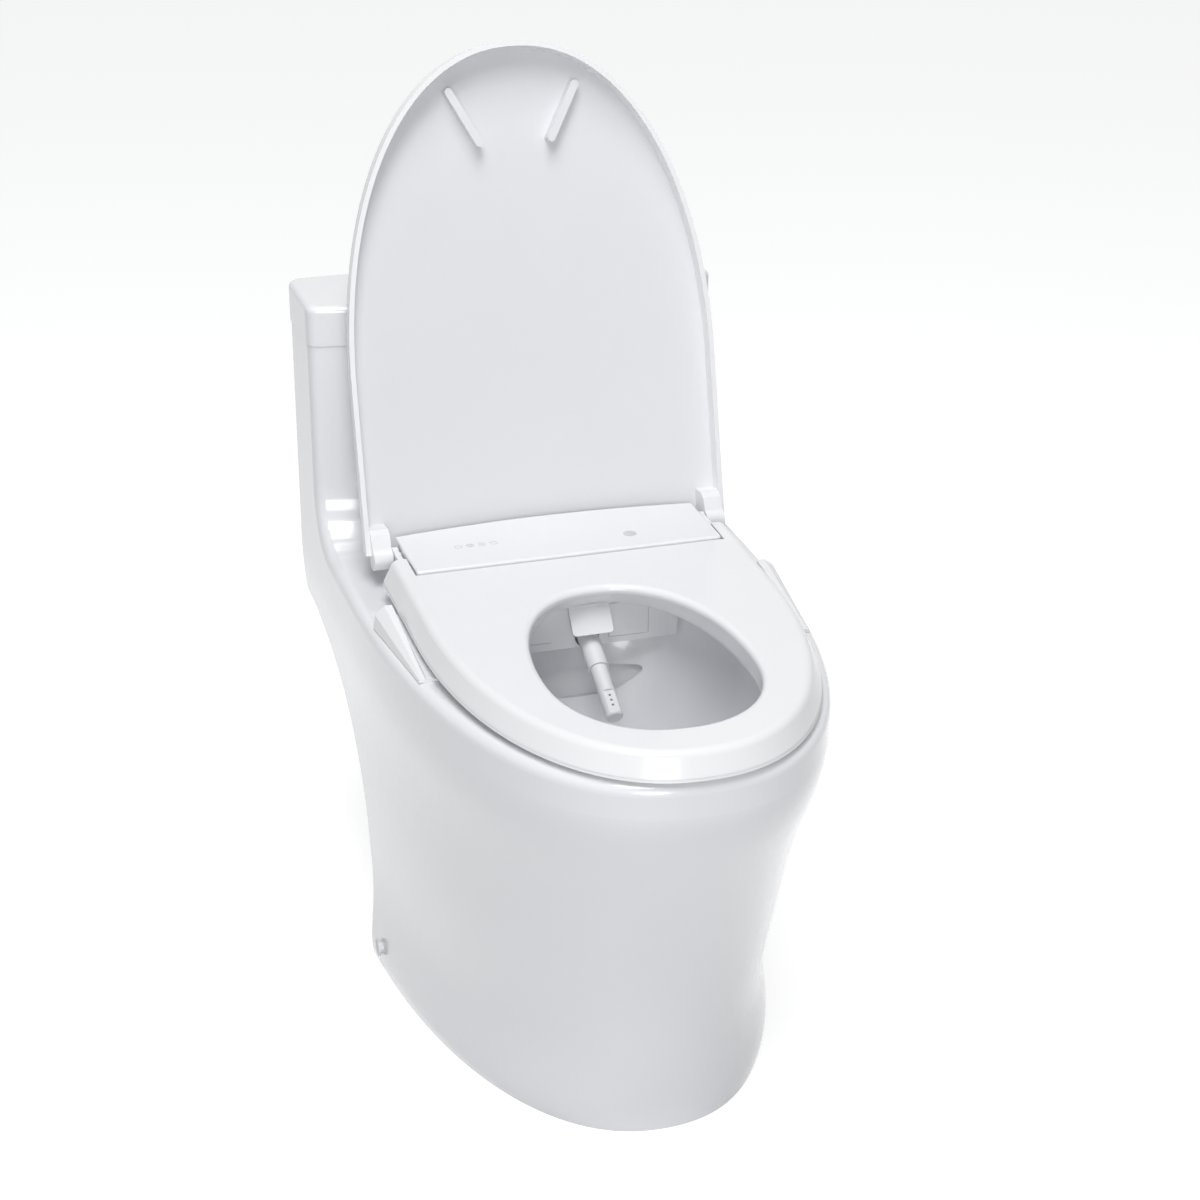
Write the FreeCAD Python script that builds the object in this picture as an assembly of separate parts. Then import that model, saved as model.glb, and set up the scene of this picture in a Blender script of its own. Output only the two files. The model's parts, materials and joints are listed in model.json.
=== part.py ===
"""One-piece toilet with a heated wash seat.

Frame: +Z up, +X to the right of someone who faces the toilet, -Y towards the user.
The origin is the centre of the waste outlet, on the floor. All sizes are in millimetres.
The rest pose has the lid open, the seat down and the spray wand out.
"""
import FreeCAD
import Part
import os
from math import cos, pi, radians, sin

V = FreeCAD.Vector
X_AXIS = V(1, 0, 0)
Y_AXIS = V(0, 1, 0)
Z_AXIS = V(0, 0, 1)

# ---- driving dimensions: china ----
HINGE_Y = 55.0          # lid and seat hinge axis, behind the outlet
HINGE_Z = 464.0
RIM_Z = 435.0           # flat top of the rim and deck
WAIST_Z = 400.0         # above this the sides are upright
FOOT_FRONT = -341.0     # front of the footprint
FOOT_REAR = 57.0        # rear edge of the skirt at the floor
RIM_FRONT = -442.0
TANK_REAR = 295.0
TANK_HALF = 218.0
TANK_FRONT = HINGE_Y + 110.0
TANK_BOW = 1000.0       # plan radius of the tank's front
TANK_SEAM_Z = 650.0
LID_GAP = 0.4           # between the tank and its lid
LID_CREST = 7.0         # rounded top edge of the tank's lid
BUTTON_Y = 230.0
TANK_TOP_Z = 692.4
UNDER_TANK_Z = 324.0
DECK_FILLET = 58.0      # concave sweep from the deck up to the tank
SHOULDER = 12.0         # rounded edge round the deck and up the tank
BACK_CORNER = 15.0      # rounded upright edges at the tank's back
WALL = 12.0             # fired china wall
TANK_FLOOR_Z = 385.0
OUTLET_R = 40.0

# ---- driving dimensions: bowl ----
BOWL_FRONT = -397.0
BOWL_REAR = -33.0
BOWL_HALF = 130.0
SUMP_Y = -180.0
SUMP_Z = 190.0
SUMP_SEAM_Z = 298.0     # below this the bowl is the sump's casting
TRAP_R = 27.0           # bore of the trapway
JET_Z = 350.0           # middle of the flush water's recess
JET_TALL = 28.0
JET_DEEP = 11.0
JET_END = -64.0         # its open end on the right-hand wall

# ---- driving dimensions: wash seat ----
SEAT_HALF = 187.0
SEAT_LEAN = 12.0        # how far the seat's sides slope in over its thickness
SEAT_FRONT = HINGE_Y - 500.0
SEAT_TOP = HINGE_Z + 15.0
SEAT_BOTTOM = HINGE_Z - 10.0
SEAT_TILT = 1.9         # degrees the seat slopes down to the front
OPEN_HALF = 101.0
OPEN_FRONT = HINGE_Y - 443.0
OPEN_REAR = HINGE_Y - 160.0
OPEN_MID = HINGE_Y - 322.0      # where the opening is widest
OPEN_UNDERCUT = 22.0    # how far its rear wall runs back on the way down
LID_HALF = 193.0
LID_FRONT = HINGE_Y - 505.0
LID_OPEN = 104.0        # degrees from closed to the rest pose
LID_RIM = HINGE_Z + 4.0
LID_SIDE = 20.0
LID_CROWN = 14.0
LID_WALL = 4.0
LID_RIM_WALL = 5.0
LID_PAD = 5.0           # how far the lid's rubber strips stand down
PANEL_HALF = 160.0
PANEL_FRONT = HINGE_Y - 78.0
UNIT_REAR = HINGE_Y + 14.0
PIN_R = 6.0
PIN_END = 184.0
FIT = 0.05              # running clearance on a radius

# ---- driving dimensions: wand ----
WAND_SLOPE = 27.0
WAND_EXIT = V(0, HINGE_Y - 128.0, 413.5)
SLEEVE_R = 10.5
WAND_R = 8.6
SLEEVE_OUT = 46.0
WAND_OUT = 108.0


def fuse_all(shapes):
    """One solid from several that touch or overlap."""
    whole = shapes[0]
    for shape in shapes[1:]:
        whole = whole.fuse(shape)
    return whole.removeSplitter()


def box(x0, x1, y0, y1, z0, z1):
    """An upright block between two corners."""
    return Part.makeBox(x1 - x0, y1 - y0, z1 - z0, V(x0, y0, z0))


def cyl(radius, start, direction, length):
    """A cylinder from a start point."""
    return Part.makeCylinder(radius, length, start, direction)


def mirrored(shape):
    """The same shape on the other side of the centre plane."""
    return shape.mirror(V(0, 0, 0), X_AXIS)


def both_sides(shape):
    """A left and a right copy as one group."""
    return Part.makeCompound([shape, mirrored(shape)])


def horseshoe(z, half, front, mid, rear, power=2.2, steps=9):
    """A level outline: a rounded nose ahead of y = mid, straight sides and a straight back."""
    reach = mid - front
    right = []
    for i in range(steps + 1):
        turn = 0.5 * pi * i / steps
        x = half * sin(turn) ** (2.0 / power)
        y = mid - reach * cos(turn) ** (2.0 / power)
        right.append(V(x, y, z))
    left = [V(-p.x, p.y, z) for p in reversed(right[1:])]
    nose = Part.BSplineCurve()
    nose.interpolate(Points=left + right, Tangents=[V(0, -1, 0), V(0, 1, 0)])
    corners = [V(half, mid, z), V(half, rear, z), V(-half, rear, z), V(-half, mid, z)]
    edges = [nose.toShape()]
    for a, b in zip(corners[:-1], corners[1:]):
        edges.append(Part.makeLine(a, b))
    return Part.Wire(edges)


def egg(z, half, front, rear, power=2.2, mid=None, steps=12):
    """A closed level outline, rounded at both ends and widest at y = mid."""
    if mid is None:
        mid = 0.5 * (front + rear)
    points = []
    for i in range(2 * steps):
        turn = pi * i / steps
        sx, sy = sin(turn), cos(turn)
        reach = mid - front if sy > 0 else mid - rear
        x = half * abs(sx) ** (2.0 / power) * (1 if sx > 0 else -1)
        y = mid - reach * abs(sy) ** (2.0 / power)
        points.append(V(x, y, z))
    curve = Part.BSplineCurve()
    curve.interpolate(Points=points, PeriodicFlag=True)
    return Part.Wire([curve.toShape()])


def prism(wire, height):
    """A wire filled and drawn upwards."""
    return Part.Face(wire).extrude(V(0, 0, height))


def edges_where(shape, test):
    """The edges whose middle point passes a test."""
    found = []
    for edge in shape.Edges:
        middle = edge.valueAt(0.5 * (edge.FirstParameter + edge.LastParameter))
        if test(middle, edge):
            found.append(edge)
    return found


# ---------------------------------------------------------------- china

def body_loft(inset, z_low, z_high):
    """The outer form of pedestal, bowl and tank side walls, drawn in by an inset."""
    rows = [
        # z, half width, front, where the straight sides begin, squareness
        (0.0, 203.0, FOOT_FRONT, 147.0, 2.2),
        (60.0, 202.0, FOOT_FRONT + 2, 140.0, 2.2),
        (150.0, 203.0, FOOT_FRONT - 8, 120.0, 2.25),
        (240.0, 207.0, FOOT_FRONT - 36, 95.0, 2.3),
        (320.0, 212.0, RIM_FRONT + 30, 72.0, 2.35),
        (365.0, 216.5, RIM_FRONT + 9, 60.0, 2.4),
        (388.0, 217.8, RIM_FRONT + 1.5, 56.0, 2.4),
        (WAIST_Z, TANK_HALF, RIM_FRONT, 55.0, 2.4),
    ]
    wires = []
    for z, half, front, mid, power in rows:
        wires.append(horseshoe(z, half - inset, front + inset, mid, TANK_REAR - inset, power))
    whole = Part.makeLoft(wires, True, False)
    if z_high > WAIST_Z:
        whole = whole.fuse(prism(wires[-1], z_high - WAIST_Z + 60))
    slab = box(-300, 300, -600, 400, z_low, z_high)
    return whole.common(slab)


def above_deck():
    """All the space over the deck and ahead of the tank, with the concave sweep."""
    axis_y = TANK_FRONT + TANK_BOW
    far = axis_y + 600.0
    top = 900.0
    corner = V(0, TANK_FRONT - DECK_FILLET, RIM_Z)
    rise = V(0, TANK_FRONT, RIM_Z + DECK_FILLET)
    centre = V(0, corner.y, rise.z)
    middle = centre + V(0, DECK_FILLET * sin(pi / 4), -DECK_FILLET * cos(pi / 4))
    edges = [
        Part.makeLine(V(0, axis_y - far, RIM_Z), corner),
        Part.Arc(corner, middle, rise).toShape(),
        Part.makeLine(rise, V(0, TANK_FRONT, top)),
        Part.makeLine(V(0, TANK_FRONT, top), V(0, axis_y - far, top)),
        Part.makeLine(V(0, axis_y - far, top), V(0, axis_y - far, RIM_Z)),
    ]
    face = Part.Face(Part.Wire(edges))
    face.rotate(V(0, axis_y, 0), Z_AXIS, -50)
    return face.revolve(V(0, axis_y, 0), Z_AXIS, 100)


def under_tank():
    """The space behind the skirt and below the tank."""
    low = V(0, FOOT_REAR, -10)
    foot = V(0, FOOT_REAR, 140)
    bend = V(0, FOOT_REAR + 24, 244)
    knee = V(0, FOOT_REAR + 108, UNDER_TANK_Z - 10)
    heel = V(0, TANK_REAR + 60, UNDER_TANK_Z + 2)
    curve = Part.BSplineCurve()
    curve.interpolate(Points=[foot, bend, knee, heel], Tangents=[V(0, 0, 1), V(0, 1, 0.05)])
    edges = [
        Part.makeLine(low, foot),
        curve.toShape(),
        Part.makeLine(heel, V(0, heel.y, -10)),
        Part.makeLine(V(0, heel.y, -10), low),
    ]
    face = Part.Face(Part.Wire(edges))
    face.translate(V(-300, 0, 0))
    return face.extrude(V(600, 0, 0))


def bowl(grow):
    """The bowl's inner form, grown by a wall."""
    rows = [
        # z, half width, front, rear, squareness
        (SUMP_Z - grow, 40.0, SUMP_Y - 42, SUMP_Y + 38, 2.1),
        (215.0, 52.0, SUMP_Y - 62, SUMP_Y + 52, 2.1),
        (260.0, 82.0, SUMP_Y - 112, SUMP_Y + 76, 2.2),
        (320.0, 110.0, BOWL_FRONT + 46, BOWL_REAR - 40, 2.3),
        (385.0, 127.0, BOWL_FRONT + 10, BOWL_REAR - 5, 2.6),
        (RIM_Z + 1, BOWL_HALF, BOWL_FRONT, BOWL_REAR, 2.6),
    ]
    wires = []
    for z, half, front, rear, power in rows:
        wires.append(egg(z, half + grow, front - grow, rear + grow, power))
    return Part.makeLoft(wires, True, False)


def wand_line(radius, start, length):
    """A cylinder on the wand's line, measured back from the exit."""
    run = V(0, cos(radians(WAND_SLOPE)), sin(radians(WAND_SLOPE)))
    return cyl(radius, WAND_EXIT + run * start, run, length)


def trap_pipe(radius, over):
    """The trapway: down from the sump, up over the weir and down to the outlet."""
    stops = [
        V(0, SUMP_Y + 5, SUMP_Z + 12),
        V(0, SUMP_Y + 45, SUMP_Z - 22),
        V(0, SUMP_Y + 112, SUMP_Z + 52),
        V(0, -30, SUMP_Z + 56),
        V(0, 0, SUMP_Z + 22),
        V(0, 0, 30.0 - over),
    ]
    pieces = []
    for a, b in zip(stops[:-1], stops[1:]):
        run = b - a
        pieces.append(cyl(radius, a, run, run.Length))
    for stop in stops[1:-1]:
        pieces.append(Part.makeSphere(radius, stop))
    return fuse_all(pieces)


NUT_FACE_Z = 328.0
VALVE_Y = 230.0
FILL_X = -150.0
FILL_Y = 240.0
FILL_R = 10.4           # free tail of the fill valve's shank
FILL_TAIL = 28.0
FILL_NUT_Z = NUT_FACE_Z - 10.0
SIDE_SCREW_Y = 20.0
SIDE_SCREW_Z = 28.0


def jet_channel(grow):
    """The recess behind the bowl's rear wall that guides the flush water round, grown by a wall."""
    low, high = JET_Z - JET_TALL / 2 - grow, JET_Z + JET_TALL / 2 + grow
    band = bowl(JET_DEEP + grow).common(box(-70 - grow, 118 + grow, JET_END - grow, 0, low, high))
    ends = edges_where(band, lambda p, e: p.y < JET_END - grow + 1 and abs(p.z - JET_Z) > JET_TALL / 2 + grow - 1)
    return band.makeFillet(6.0, ends)


def round_shoulders(outer):
    """Round the edge that runs round the deck and up the tank's corners."""
    def on_shoulder(p, e):
        nose = abs(p.z - RIM_Z) < 0.1 and p.y < RIM_FRONT + 2
        side = abs(abs(p.x) - TANK_HALF) < 0.1 and RIM_Z - 0.1 < p.z < TANK_SEAM_Z - 1 and p.y < TANK_REAR - 1
        return nose or side

    def at_back(p, e):
        return abs(abs(p.x) - TANK_HALF) < 0.1 and p.z < TANK_SEAM_Z - 1 and p.y > TANK_REAR - 1

    outer = outer.makeFillet(SHOULDER, edges_where(outer, on_shoulder))
    return outer.makeFillet(BACK_CORNER, edges_where(outer, at_back))


def china_whole():
    """The fired china before it is parted into its cast sections."""
    outer = body_loft(0, 0, TANK_SEAM_Z)
    outer = outer.cut(above_deck())
    outer = round_shoulders(outer.cut(under_tank()))

    hollow = body_loft(WALL, -1, RIM_Z - WALL)
    hollow = hollow.common(box(-300, 300, -600, FOOT_REAR + 58, -1, RIM_Z))
    hollow = hollow.cut(bowl(WALL)).cut(jet_channel(WALL))
    hollow = hollow.cut(trap_pipe(TRAP_R + WALL, 0))
    tank = body_loft(WALL, TANK_FLOOR_Z, TANK_SEAM_Z + 1)
    tank = tank.common(cyl(TANK_BOW - WALL, V(0, TANK_FRONT + TANK_BOW, 300), Z_AXIS, 400))
    body = outer.cut(hollow).cut(tank).cut(bowl(0)).cut(jet_channel(0))
    body = body.cut(trap_pipe(TRAP_R, 1))
    body = body.cut(cyl(32, V(0, 230, TANK_FLOOR_Z - 80), Z_AXIS, 90))
    body = body.cut(cyl(14, V(-150, 240, TANK_FLOOR_Z - 80), Z_AXIS, 90))
    body = body.cut(cyl(7, V(-300, SIDE_SCREW_Y, SIDE_SCREW_Z), X_AXIS, 600))
    for x in (-70, 70):
        body = body.cut(cyl(7, V(x, HINGE_Y - 45, RIM_Z - 40), Z_AXIS, 60))
    for x, y, radius in ((0, VALVE_Y, 46), (FILL_X, FILL_Y, 24)):
        body = body.cut(cyl(radius, V(x, y, NUT_FACE_Z - 40), Z_AXIS, 40))
    return body.cut(wand_line(14.2, -10, 130))


def china_sections():
    """The cast sections, which meet face to face: tank, rim, bowl, sump, trapway and skirt."""
    whole = china_whole()
    sump_zone = box(-300, 300, -600, 400, -10, SUMP_SEAM_Z)
    bowl_zone = box(-300, 300, -600, 400, SUMP_SEAM_Z, RIM_Z - WALL)
    shell = bowl(WALL).fuse(jet_channel(WALL))
    tank_zone = box(-300, 300, TANK_FRONT - DECK_FILLET, 400, TANK_FLOOR_Z - WALL, 900)
    rim_zone = box(-300, 300, -600, TANK_FRONT - DECK_FILLET, RIM_Z - WALL, 900)
    sections = []
    for zone in (tank_zone, rim_zone, shell.common(bowl_zone), shell.common(sump_zone),
                 trap_pipe(TRAP_R + WALL, 0)):
        sections.append(whole.common(zone))
        whole = whole.cut(zone)
    return sections + [whole]


def tank_lid():
    """The lift-off china lid, with a locating lip and a hole for the buttons."""
    low = TANK_SEAM_Z + LID_GAP
    whole = body_loft(-1.0, low, TANK_TOP_Z)
    whole = whole.common(cyl(TANK_BOW + 1, V(0, TANK_FRONT + TANK_BOW, 300), Z_AXIS, 500))

    def upright(p, e):
        return abs(p.x) > TANK_HALF and low + 1 < p.z < TANK_TOP_Z - 1

    whole = whole.makeFillet(SHOULDER + 1, edges_where(whole, lambda p, e: upright(p, e) and p.y < TANK_REAR - 5))
    whole = whole.makeFillet(BACK_CORNER, edges_where(whole, lambda p, e: upright(p, e) and p.y > TANK_REAR - 5))
    crest = edges_where(whole, lambda p, e: p.z > TANK_TOP_Z - 0.1)
    whole = whole.makeFillet(LID_CREST, crest)
    hollow = body_loft(WALL, low - 1, TANK_TOP_Z - WALL)
    hollow = hollow.common(cyl(TANK_BOW - WALL, V(0, TANK_FRONT + TANK_BOW, 300), Z_AXIS, 500))
    return whole.cut(hollow).cut(cyl(36, V(0, BUTTON_Y, low), Z_AXIS, 100))


# ---------------------------------------------------------------- flush parts

def button_bezel():
    """The ring that holds both flush buttons in the lid's hole."""
    z = TANK_TOP_Z
    ring = cyl(41, V(0, BUTTON_Y, z), Z_AXIS, 2.5)
    ring = ring.fuse(cyl(35.8, V(0, BUTTON_Y, z - 24), Z_AXIS, 24))
    ring = ring.cut(cyl(33, V(0, BUTTON_Y, z - 30), Z_AXIS, 40))
    edges = edges_where(ring, lambda p, e: p.z > z + 2 and e.Length > 240)
    return ring.makeFillet(1.0, edges)


def flush_button(side):
    """One half of the round pair: +1 is the full flush, -1 the light flush."""
    z = TANK_TOP_Z
    split = 6.0
    disc = cyl(32.6, V(0, BUTTON_Y, z - 9), Z_AXIS, 12)
    low = split + 0.4 if side > 0 else -40.0
    high = 40.0 if side > 0 else split - 0.4
    half = disc.common(box(low, high, BUTTON_Y - 40, BUTTON_Y + 40, z - 20, z + 10))
    top = edges_where(half, lambda p, e: p.z > z + 2.9)
    half = half.makeFillet(1.2, top)
    stem_x = 18.0 if side > 0 else -12.0
    return half.fuse(cyl(4, V(stem_x, BUTTON_Y, z - 30), Z_AXIS, 22))


def flush_valve():
    """The fixed tower of the canister valve, with its base and windows."""
    floor = TANK_FLOOR_Z
    base = cyl(42, V(0, VALVE_Y, floor), Z_AXIS, 8).fuse(cyl(31.6, V(0, VALVE_Y, floor - 70), Z_AXIS, 72))
    base = base.cut(cyl(27, V(0, VALVE_Y, floor - 80), Z_AXIS, 100))
    posts = []
    for turn in range(4):
        angle = pi / 4 + turn * pi / 2
        at = V(36 * cos(angle), VALVE_Y + 36 * sin(angle), floor + 8)
        posts.append(cyl(3.5, at, Z_AXIS, 60))
    cage = cyl(40, V(0, VALVE_Y, floor + 68), Z_AXIS, 90)
    cage = cage.cut(cyl(37, V(0, VALVE_Y, floor + 60), Z_AXIS, 120))
    return fuse_all([base, cage] + posts)


def flush_canister():
    """The canister that lifts to flush: open overflow tube, collar and lift rod."""
    floor = TANK_FLOOR_Z
    tube = cyl(20, V(0, VALVE_Y, floor + 10.2), Z_AXIS, 200).cut(cyl(17, V(0, VALVE_Y, floor), Z_AXIS, 230))
    foot = cyl(30, V(0, VALVE_Y, floor + 10.2), Z_AXIS, 6).cut(cyl(17, V(0, VALVE_Y, floor), Z_AXIS, 40))
    return tube.fuse(foot)


def canister_seal():
    """The soft ring under the canister."""
    z = TANK_FLOOR_Z + 8.2
    return cyl(31, V(0, VALVE_Y, z), Z_AXIS, 2.0).cut(cyl(24, V(0, VALVE_Y, z - 1), Z_AXIS, 4))


def valve_nut():
    """The lock nut that clamps the flush valve below the tank floor."""
    z = NUT_FACE_Z - 9
    return cyl(40, V(0, VALVE_Y, z), Z_AXIS, 9).cut(cyl(31.6, V(0, VALVE_Y, z - 1), Z_AXIS, 12))


def fill_valve():
    """Fill valve: threaded shank through the tank floor, riser and head."""
    at = V(FILL_X, FILL_Y, TANK_FLOOR_Z)
    shank = cyl(FILL_R + 0.6, V(FILL_X, FILL_Y, FILL_NUT_Z), Z_AXIS, TANK_FLOOR_Z - FILL_NUT_Z)
    tail = cyl(FILL_R, V(FILL_X, FILL_Y, FILL_NUT_Z - FILL_TAIL), Z_AXIS, FILL_TAIL)
    flange = cyl(19, at, Z_AXIS, 4)
    riser = cyl(9, at, Z_AXIS, 190)
    head = cyl(19, at + V(0, 0, 188), Z_AXIS, 34)
    arm = box(FILL_X + 10, FILL_X + 62, FILL_Y - 6, FILL_Y + 6, TANK_FLOOR_Z + 196, TANK_FLOOR_Z + 208)
    bore = cyl(6, V(FILL_X, FILL_Y, FILL_NUT_Z - FILL_TAIL - 1), Z_AXIS, 160)
    return fuse_all([shank, tail, flange, riser, head, arm]).cut(bore)


def fill_nut():
    """The plastic nut under the tank that holds the fill valve."""
    at = V(FILL_X, FILL_Y, FILL_NUT_Z)
    ring = cyl(18, at, Z_AXIS, NUT_FACE_Z - FILL_NUT_Z)
    return ring.cut(cyl(FILL_R + 0.6, at - V(0, 0, 1), Z_AXIS, 20))


def float_cup():
    """The float that rides up and down the fill valve's riser."""
    at = V(FILL_X, FILL_Y, TANK_FLOOR_Z + 60)
    cup = cyl(27, at, Z_AXIS, 46)
    return cup.cut(cyl(9.4, at - V(0, 0, 1), Z_AXIS, 48))


# ---------------------------------------------------------------- floor parts

def outlet_connector():
    """The floor socket that the china's outlet drops into."""
    ring = cyl(64, V(0, 0, 0), Z_AXIS, 10).fuse(cyl(50, V(0, 0, 0), Z_AXIS, 28))
    return ring.cut(cyl(OUTLET_R, V(0, 0, -1), Z_AXIS, 40))


def outlet_seal():
    """The rubber ring between the socket and the china's outlet."""
    return cyl(46, V(0, 0, 28), Z_AXIS, 2).cut(cyl(28, V(0, 0, 27), Z_AXIS, 4))


def side_bracket():
    """One floor bracket: a foot for a floor screw and a boss for the side screw."""
    foot = box(118, 184, 0, 40, 0, 6)
    post = box(172, 184, 5, 35, 0, 44)
    rib = Part.Face(Part.makePolygon([V(140, 17, 6), V(172, 17, 6), V(172, 17, 40), V(140, 17, 6)]))
    rib = rib.extrude(V(0, 6, 0))
    whole = fuse_all([foot, post, rib])
    whole = whole.cut(cyl(3.5, V(130, 20, -1), Z_AXIS, 10))
    return whole.cut(cyl(2.5, V(160, SIDE_SCREW_Y, SIDE_SCREW_Z), X_AXIS, 40))


def side_screw():
    """The screw that ties the skirt to its bracket."""
    shank = cyl(2.5, V(172, SIDE_SCREW_Y, SIDE_SCREW_Z), X_AXIS, 24)
    return shank.fuse(cyl(5, V(193, SIDE_SCREW_Y, SIDE_SCREW_Z), X_AXIS, 3))


def screw_cap():
    """The push-in cap over a side screw."""
    stem = cyl(6.9, V(197.5, SIDE_SCREW_Y, SIDE_SCREW_Z), X_AXIS, 6.0)
    return stem.fuse(cyl(9, V(202.8, SIDE_SCREW_Y, SIDE_SCREW_Z), X_AXIS, 2.2))


# ---------------------------------------------------------------- wash unit

PLATE_Z = RIM_Z
CASE_Z = RIM_Z + 4.0
CASE_WALL = 3.0
NOSE_FRONT = HINGE_Y - 130.0
NOSE_REAR = HINGE_Y - 113.0
NOSE_LOW = 400.0
NOSE_HALF = 84.0
FITTING_Z = 447.0
SKIRT_Z = SEAT_BOTTOM - 7.0
INLET_R = 6.0
SHUTTER_Z = 446.0       # the shutter's hinge line
SHUTTER_REST = 39.0     # degrees that the wand holds it open
DOOR_X0, DOOR_X1 = 23.0, 64.0
DOOR_Z0, DOOR_Z1 = 407.0, 442.0
WINDOW_R = 6.0
WINDOW_X = 72.0
WINDOW_Y = HINGE_Y - 45.0
PANEL_WALL = 2.5
PANEL_LIP = 3.0         # the case stands this far inside the panel
PANEL_DEEP = 27.0
INNER_GAP = 0.2         # between the case's inner faces and what it holds


def mounting_plate():
    """The plate bolted to the deck that the wash unit clips onto."""
    plate = box(-120, 120, HINGE_Y - 70, HINGE_Y + 8, PLATE_Z, CASE_Z)
    for x in (-70, 70):
        plate = plate.cut(cyl(4.2, V(x, HINGE_Y - 45, PLATE_Z - 1), Z_AXIS, 10))
    return plate.cut(box(-20, 20, HINGE_Y - 80, HINGE_Y - 20, PLATE_Z - 1, CASE_Z + 1))


def plate_bolt():
    """A bolt and its rubber expander in the deck's hole."""
    return cyl(6.8, V(70, HINGE_Y - 45, RIM_Z - 34), Z_AXIS, 34).fuse(cyl(4.0, V(70, HINGE_Y - 45, RIM_Z - 1), Z_AXIS, 5))


def case_block(grow, top):
    """The unit's outline: a rear housing, a low skirt under the seat and a nose in the bowl."""
    half = PANEL_HALF - PANEL_LIP
    rear = box(grow - half, half - grow, PANEL_FRONT + PANEL_LIP + grow, UNIT_REAR - grow, CASE_Z + grow, top)
    sole, roof = CASE_Z + 0.7 * grow, SKIRT_Z - 0.7 * grow
    skirt = box(grow - 176, 176 - grow, HINGE_Y - 128 + grow, HINGE_Y - 20 - grow, sole, roof)
    nose = box(grow - NOSE_HALF, NOSE_HALF - grow, NOSE_FRONT + grow, NOSE_REAR - grow, NOSE_LOW + grow, roof)
    return fuse_all([rear, skirt, nose])


def unit_case():
    """The wash unit's hollow case, with openings for wand, warm air, hinge pins and fittings."""
    case = case_block(0, SEAT_TOP - PANEL_LIP).cut(case_block(CASE_WALL, SEAT_TOP))
    sole, roof = CASE_Z + CASE_WALL, SKIRT_Z - CASE_WALL
    case = case.cut(box(CASE_WALL - NOSE_HALF, NOSE_HALF - CASE_WALL, NOSE_REAR - 4, HINGE_Y - 100, sole, roof))
    case = case.cut(wand_line(13.0, -40, 170))
    case = case.cut(cyl(INLET_R - 0.4, V(-130, UNIT_REAR - 6, FITTING_Z), Y_AXIS, 12))
    case = case.cut(cyl(5.1, V(130, UNIT_REAR - 6, FITTING_Z), Y_AXIS, 12))
    for side in (-1, 1):
        case = case.cut(cyl(PIN_R, V(side * 150, HINGE_Y, HINGE_Z), V(side, 0, 0), 20))
    slot = box(-NOSE_HALF + 10, -38, NOSE_FRONT - 1, NOSE_FRONT + 1, NOSE_LOW + 8, NOSE_LOW + 10)
    vent = box(DOOR_X0 - 0.5, DOOR_X1 + 0.5, NOSE_FRONT - 1, NOSE_FRONT + 4, DOOR_Z0 - 0.5, DOOR_Z1 + 1.8)
    return case.cut(slot).cut(vent)


def top_panel():
    """The unit's cover: a tray turned over, with its back edge arched to follow the open lid."""
    low = SEAT_TOP - PANEL_DEEP

    def outline(inset, z):
        half = PANEL_HALF - inset
        back_side, back_mid = HINGE_Y + 17 - inset, HINGE_Y + 29 - inset
        arch = Part.Arc(V(half, back_side, z), V(0, back_mid, z), V(-half, back_side, z)).toShape()
        corners = [V(-half, back_side, z), V(-half, PANEL_FRONT + inset, z),
                   V(half, PANEL_FRONT + inset, z), V(half, back_side, z)]
        return Part.Wire([arch] + [Part.makeLine(a, b) for a, b in zip(corners[:-1], corners[1:])])

    plate = prism(outline(0, low), PANEL_DEEP)
    corners = edges_where(plate, lambda p, e: abs(p.x) > PANEL_HALF - 1 and p.y < PANEL_FRONT + 1 and e.Length < 50)
    plate = plate.makeFillet(4.0, corners)
    plate = plate.makeFillet(2.4, edges_where(plate, lambda p, e: p.z > SEAT_TOP - 0.1))
    plate = plate.cut(prism(outline(PANEL_WALL, low - 1), PANEL_DEEP + 1 - PANEL_WALL))
    plate = plate.cut(box(-200, 200, UNIT_REAR - 20, HINGE_Y + 60, low - 1, SEAT_TOP - PANEL_LIP))
    plate = plate.cut(cyl(PIN_R, V(-200, HINGE_Y, HINGE_Z), X_AXIS, 400))
    return plate.cut(cyl(WINDOW_R, V(WINDOW_X, WINDOW_Y, SEAT_TOP - 0.6), Z_AXIS, 2))


def sensor_window():
    """The small round window let into the top panel."""
    return cyl(WINDOW_R, V(WINDOW_X, WINDOW_Y, SEAT_TOP - 0.6), Z_AXIS, 0.6)


def wing():
    """The low cheek that closes the gap between the seat's underside and the deck."""
    low = RIM_Z + 0.2
    rear = [(178, low), (211, low), (209, 449), (199, 457.5), (191, 457.5), (189.5, 446), (178, 446)]
    tip = [(178, low), (197, low), (196.4, 437), (194.0, 438.6), (191, 438.6), (189.5, 438), (178, 438)]
    wires = []
    for y, section in ((HINGE_Y - 100, rear), (HINGE_Y - 234, tip)):
        points = [V(x, y, z) for x, z in section]
        wires.append(Part.makePolygon(points + points[:1]))
    cheek = Part.makeLoft(wires, True, True)
    crest = edges_where(cheek, lambda p, e: p.x > 188 and p.z > 440 and e.Length > 100)
    upright = edges_where(cheek, lambda p, e: p.x > 209 and p.y > HINGE_Y - 101 and e.Length > 10)
    return cheek.makeFillet(1.1, crest + upright)


def wand_frame(shape):
    """Put a shape drawn along -Y from the origin onto the wand's line, with 0 at the exit."""
    shape.rotate(V(0, 0, 0), X_AXIS, WAND_SLOPE)
    shape.translate(WAND_EXIT)
    return shape


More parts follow.
